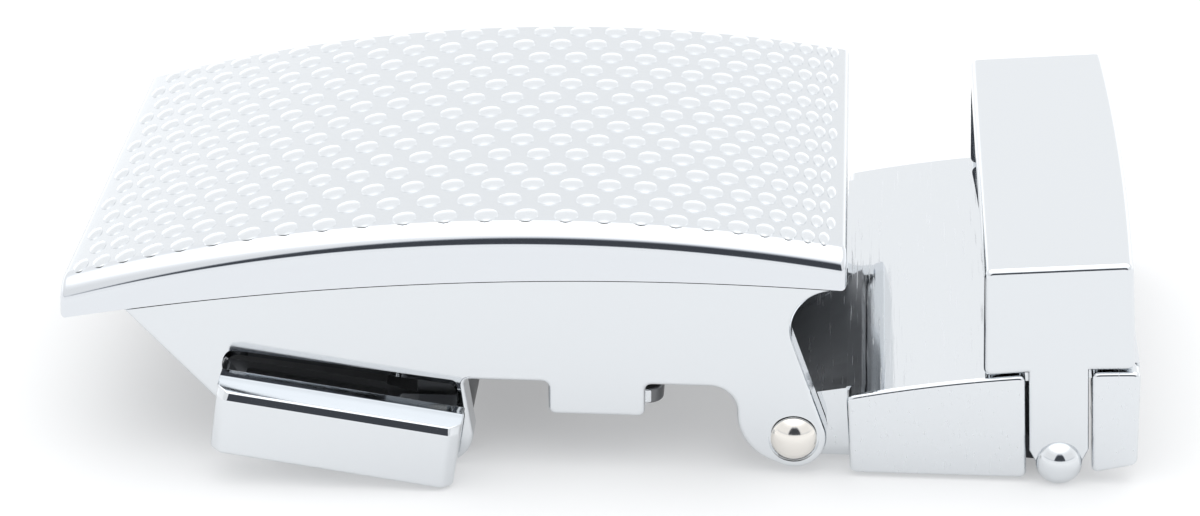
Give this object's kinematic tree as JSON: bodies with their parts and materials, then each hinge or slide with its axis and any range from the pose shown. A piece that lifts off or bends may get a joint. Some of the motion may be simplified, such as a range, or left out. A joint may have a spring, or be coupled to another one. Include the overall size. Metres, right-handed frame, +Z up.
{
  "type": "ratchet belt buckle",
  "caption": "Chromed ratchet belt buckle with an arched, bead-patterned face plate, a release tab at its side, and a hinged strap clip with a keeper loop.",
  "frame": {"origin": "the point of the surface that the buckle lies on under the middle of the face plate", "axes": "+X along the belt from the lever end to the strap end, +Y across it to the side away from the tab, +Z up out of the patterned face"},
  "size_m": [0.0773, 0.0453, 0.0191],
  "materials": {
    "chrome": "bright chrome plate on die-cast zinc alloy",
    "steel": "polished steel of the pins, rivets and the clamp"
  },
  "bodies": {
    "frame": {"face_plate": "chrome", "frame": "chrome", "lever_pin": "steel", "hinge_rivet_near": "steel", "hinge_rivet_far": "steel"},
    "lever": {"release_lever": "chrome"},
    "clip": {"clip_link": "chrome", "keeper_loop": "chrome", "loop_pin": "steel", "strap_clamp": "steel"}
  },
  "joints": [
    {"name": "lever_pivot", "type": "hinge", "parent": "frame", "child": "lever", "pos_m": [-0.001, 0, 0.0025], "axis": [0, 1, 0], "range_deg": [0, 7], "stiffness_Nm_per_rad": 0.05, "springref_deg": -28.65},
    {"name": "link_pivot", "type": "hinge", "parent": "frame", "child": "clip", "pos_m": [0.0246, 0, 0.0029], "axis": [0, 1, 0], "range_deg": [-30, 75]}
  ]
}
